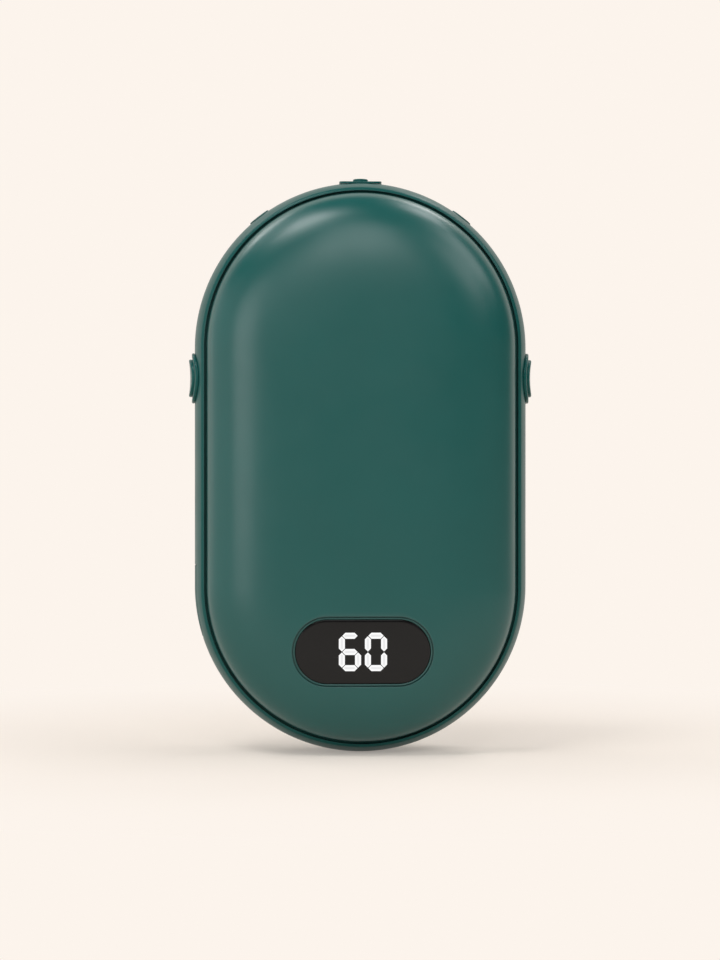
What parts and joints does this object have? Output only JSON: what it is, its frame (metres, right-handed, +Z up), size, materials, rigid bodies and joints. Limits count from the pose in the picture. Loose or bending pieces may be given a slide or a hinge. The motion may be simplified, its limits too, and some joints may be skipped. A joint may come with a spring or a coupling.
{
  "type": "hand warmer",
  "caption": "Round-ended pocket hand warmer with two domed shells on a convex band, push keys on both sides and on top, a digital display window and a covered charging port.",
  "frame": {"origin": "bottom centre of the round lower end, where the warmer meets the surface it stands on", "axes": "+Z up along the long axis, -Y out of the front face with the display, +X to the right seen from the front"},
  "size_m": [0.0622, 0.028, 0.1037],
  "materials": {
    "shell_green": "satin",
    "band_green": "satin",
    "key_green": "satin",
    "soft_green": "matte",
    "gasket_black": "matte",
    "smoked_lens": "gloss",
    "adhesive_black": "matte",
    "reflector_black": "matte",
    "guide_white": "satin",
    "board_green": "satin",
    "chip_black": "matte",
    "ferrite_grey": "matte",
    "connector_white": "satin",
    "socket_steel": "satin",
    "screw_steel": "satin",
    "chassis_grey": "matte",
    "cell_silver": "satin",
    "pad_grey": "matte",
    "spreader_aluminium": "satin",
    "film_amber": "gloss",
    "foam_white": "matte",
    "bead_brown": "gloss",
    "lead_red": "satin",
    "lead_black": "satin",
    "lead_grey": "satin"
  },
  "bodies": {
    "housing": {"front_shell": "shell_green", "rear_shell": "shell_green", "mid_frame": "band_green", "front_gasket": "gasket_black", "rear_gasket": "gasket_black", "display_lens": "smoked_lens", "lens_seal": "adhesive_black", "display_reflector": "reflector_black", "display_light_guide": "guide_white", "display_board": "board_green", "left_key_surround": "key_green", "left_key_switch_body": "chip_black", "left_key_board": "board_green", "left_key_lead": "lead_grey", "right_key_surround": "key_green", "right_key_switch_body": "chip_black", "right_key_board": "board_green", "right_key_lead": "lead_grey", "power_key_plate": "key_green", "power_key_switch_body": "chip_black", "power_key_board": "board_green", "power_key_lead": "lead_grey", "left_screw_plug": "soft_green", "right_screw_plug": "soft_green", "left_frame_screw": "screw_steel", "right_frame_screw": "screw_steel", "left_board_screw": "screw_steel", "right_board_screw": "screw_steel", "port_cover_root": "soft_green", "socket_shell": "socket_steel", "socket_tongue": "chip_black", "main_board": "board_green", "charger_chip": "chip_black", "control_chip": "chip_black", "power_inductor": "ferrite_grey", "battery_socket": "connector_white", "inner_chassis": "chassis_grey", "front_cell": "cell_silver", "rear_cell": "cell_silver", "cell_pad": "pad_grey", "protection_board": "board_green", "battery_lead_red": "lead_red", "battery_lead_black": "lead_black", "front_heat_spreader": "spreader_aluminium", "rear_heat_spreader": "spreader_aluminium", "front_heater_film": "film_amber", "rear_heater_film": "film_amber", "front_thermal_foam": "foam_white", "rear_thermal_foam": "foam_white", "front_thermistor": "bead_brown", "rear_thermistor": "bead_brown", "front_heater_tail": "film_amber", "rear_heater_tail": "film_amber"},
    "left_push": {"left_key": "key_green", "left_key_switch_plunger": "chip_black"},
    "right_push": {"right_key": "key_green", "right_key_switch_plunger": "chip_black"},
    "power_push": {"power_key": "key_green", "power_key_switch_plunger": "chip_black"},
    "port_flap": {"port_cover": "soft_green"}
  },
  "joints": [
    {"name": "left_key_press", "type": "slide", "parent": "housing", "child": "left_push", "axis": [1, 0, 0], "range_m": [0, 0.0005], "stiffness_N_per_m": 2500},
    {"name": "right_key_press", "type": "slide", "parent": "housing", "child": "right_push", "axis": [-1, 0, 0], "range_m": [0, 0.0005], "stiffness_N_per_m": 2500},
    {"name": "power_key_press", "type": "slide", "parent": "housing", "child": "power_push", "axis": [0, 0, -1], "range_m": [0, 0.0005], "stiffness_N_per_m": 2500},
    {"name": "port_cover_hinge", "type": "hinge", "parent": "housing", "child": "port_flap", "pos_m": [-0.0294, 0, 0.0333], "axis": [0, 1, 0], "range_deg": [0, 100]}
  ]
}
